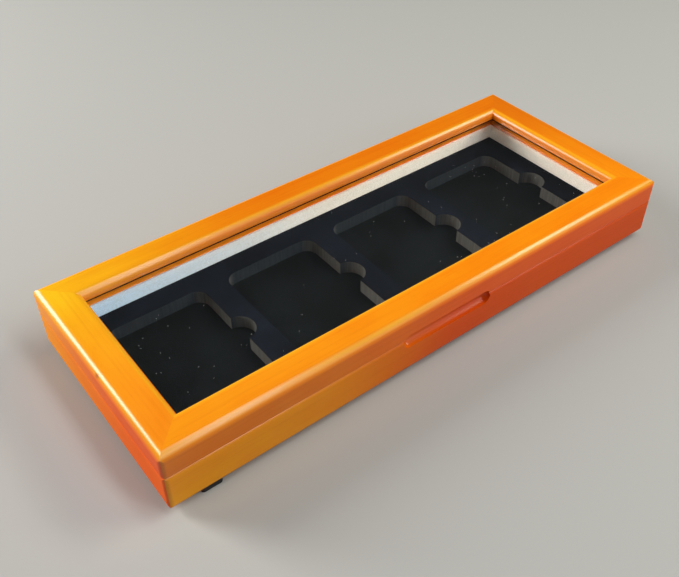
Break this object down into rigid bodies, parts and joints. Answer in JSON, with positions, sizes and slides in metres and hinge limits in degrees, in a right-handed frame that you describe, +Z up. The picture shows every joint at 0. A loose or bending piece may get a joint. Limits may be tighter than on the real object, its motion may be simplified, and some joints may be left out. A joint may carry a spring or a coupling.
{
  "type": "coin display case",
  "caption": "Hinged wooden display case with a glazed lid and a flocked insert whose pockets hold graded-coin slabs, each beside a finger notch.",
  "frame": {"origin": "on the table, under the middle of the closed case", "axes": "+X along the case to the right, +Y to the hinged back, +Z up"},
  "size_m": [0.368, 0.15, 0.0456],
  "materials": {
    "lid_wood": "cherry stain under satin-gloss lacquer",
    "base_wood": "cherry stain under satin-gloss lacquer",
    "panel": "stained thin panel, matt",
    "pane": "clear, polished, a little dusty",
    "flock": "black flocked board",
    "backing": "black flocked sheet",
    "lining": "pale textured lining paper",
    "brass": "polished, light use",
    "magnet": "nickel plated",
    "foot": "soft black, matt",
    "seal": "soft black foam strip"
  },
  "bodies": {
    "base": {"base_rail_front": "base_wood", "base_rail_back": "base_wood", "base_rail_left": "base_wood", "base_rail_right": "base_wood", "base_panel": "panel", "liner_front": "lining", "liner_back": "lining", "liner_left": "lining", "liner_right": "lining", "insert_board": "flock", "insert_backing": "backing", "foot_front_left": "foot", "foot_front_right": "foot", "foot_back_left": "foot", "foot_back_right": "foot", "base_magnets": "magnet", "base_hinge_leaf_left": "brass", "base_hinge_leaf_right": "brass", "hinge_pin_left": "brass", "hinge_pin_right": "brass", "base_hinge_screws": "brass"},
    "lid": {"lid_rail_front": "lid_wood", "lid_rail_back": "lid_wood", "lid_rail_left": "lid_wood", "lid_rail_right": "lid_wood", "lid_glass": "pane", "pane_seal": "seal", "lid_hinge_leaf_left": "brass", "lid_hinge_leaf_right": "brass", "lid_magnets": "magnet", "lid_hinge_screws": "brass"}
  },
  "joints": [
    {"name": "lid_hinge", "type": "hinge", "parent": "base", "child": "lid", "pos_m": [0, 0.072, 0.02935], "axis": [-1, 0, 0], "range_deg": [0, 98]}
  ]
}
